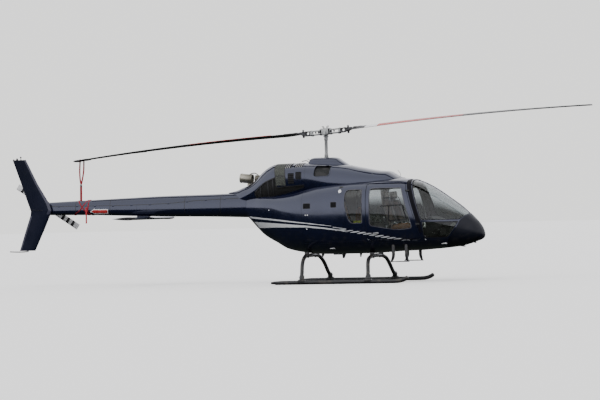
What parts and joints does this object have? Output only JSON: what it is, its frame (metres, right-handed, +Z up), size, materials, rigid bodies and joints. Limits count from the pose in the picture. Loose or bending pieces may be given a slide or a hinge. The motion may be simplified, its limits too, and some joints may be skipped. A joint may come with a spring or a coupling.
{
  "type": "light helicopter",
  "caption": "Light single-engine helicopter with a two-blade teetering main rotor, closed cabin with hinged doors, tail boom with fin and tail rotor, standing on skids.",
  "frame": {"origin": "on the ground, in the plane of symmetry, halfway between the front and rear ends of the parked helicopter", "axes": "+X to the nose, +Y to the helicopter's left side, +Z up"},
  "size_m": [12.776, 2.3, 3.5197],
  "materials": {
    "navy_paint": "glossy dark navy metallic paint",
    "black_paint": "satin black paint",
    "clear_glazing": "clear acrylic, lightly tinted",
    "grey_plastic": "textured dark grey",
    "tan_leather": "smooth tan leather",
    "exhaust_steel": "heat-coloured steel",
    "engine_metal": "cast, bare",
    "bare_metal": "light grey, satin",
    "blade_paint": "satin dark grey"
  },
  "bodies": {
    "airframe": {"belly_tub": "navy_paint", "cabin_floor": "grey_plastic", "cabin_rear_shell": "navy_paint", "cabin_front_frame": "navy_paint", "nose_cone": "navy_paint", "windshield_right": "clear_glazing", "chin_window_right": "clear_glazing", "windshield_left": "clear_glazing", "chin_window_left": "clear_glazing", "rear_window_right": "clear_glazing", "aft_fuselage": "navy_paint", "instrument_console": "grey_plastic", "pilot_seat": "tan_leather", "copilot_seat": "tan_leather", "rear_bench": "tan_leather", "forward_cowl": "navy_paint", "engine_cowl": "navy_paint", "exhaust_duct": "exhaust_steel", "engine": "engine_metal", "gearbox": "engine_metal", "tail_boom": "navy_paint", "driveshaft_cover": "navy_paint", "vertical_fin": "navy_paint", "horizontal_stabilizer": "navy_paint", "tail_rotor_gearbox": "engine_metal", "tail_skid": "bare_metal", "cross_tube_front": "black_paint", "cross_tube_rear": "black_paint", "skid_right": "black_paint", "skid_left": "black_paint", "step_right": "black_paint", "step_left": "black_paint"},
    "mast": {"rotor_mast": "bare_metal"},
    "main_rotor": {"rotor_yoke": "bare_metal", "blade_grip_front": "engine_metal", "blade_grip_rear": "engine_metal", "main_blade_front": "blade_paint", "main_blade_rear": "blade_paint"},
    "tail_rotor": {"tail_rotor_hub": "bare_metal", "tail_blade_front": "blade_paint", "tail_blade_rear": "blade_paint"},
    "right_door": {"right_door": "navy_paint", "right_door_window": "clear_glazing"},
    "left_front_door": {"left_front_door": "navy_paint", "left_front_door_window": "clear_glazing"},
    "left_rear_door": {"left_rear_door": "navy_paint", "left_rear_door_window": "clear_glazing"},
    "baggage_door": {"baggage_door": "navy_paint"}
  },
  "joints": [
    {"name": "mast_spin", "type": "hinge", "parent": "airframe", "child": "mast", "pos_m": [0.759, 0, 2.6], "axis": [0, 0, 1], "continuous": true},
    {"name": "rotor_teeter", "type": "hinge", "parent": "mast", "child": "main_rotor", "pos_m": [0.759, 0, 3.133], "axis": [0, 1, 0], "range_deg": [-6, 15]},
    {"name": "tail_rotor_spin", "type": "hinge", "parent": "airframe", "child": "tail_rotor", "pos_m": [-5.661, 0.33, 1.722], "axis": [0, 1, 0], "continuous": true},
    {"name": "right_door_hinge", "type": "hinge", "parent": "airframe", "child": "right_door", "pos_m": [2.8225, -0.724, 1.186], "axis": [-0.2723, 0.0703, 0.9596], "range_deg": [0, 85]},
    {"name": "left_front_door_hinge", "type": "hinge", "parent": "airframe", "child": "left_front_door", "pos_m": [2.8225, 0.724, 1.186], "axis": [0.2723, 0.0703, -0.9596], "range_deg": [0, 85]},
    {"name": "left_rear_door_hinge", "type": "hinge", "parent": "airframe", "child": "left_rear_door", "pos_m": [1.186, 0.776, 1.4], "axis": [0, 0, 1], "range_deg": [0, 95]},
    {"name": "baggage_door_hinge", "type": "hinge", "parent": "airframe", "child": "baggage_door", "pos_m": [0.104, 0.62, 1.653], "axis": [0.9613, 0.2756, 0], "range_deg": [0, 80]}
  ]
}
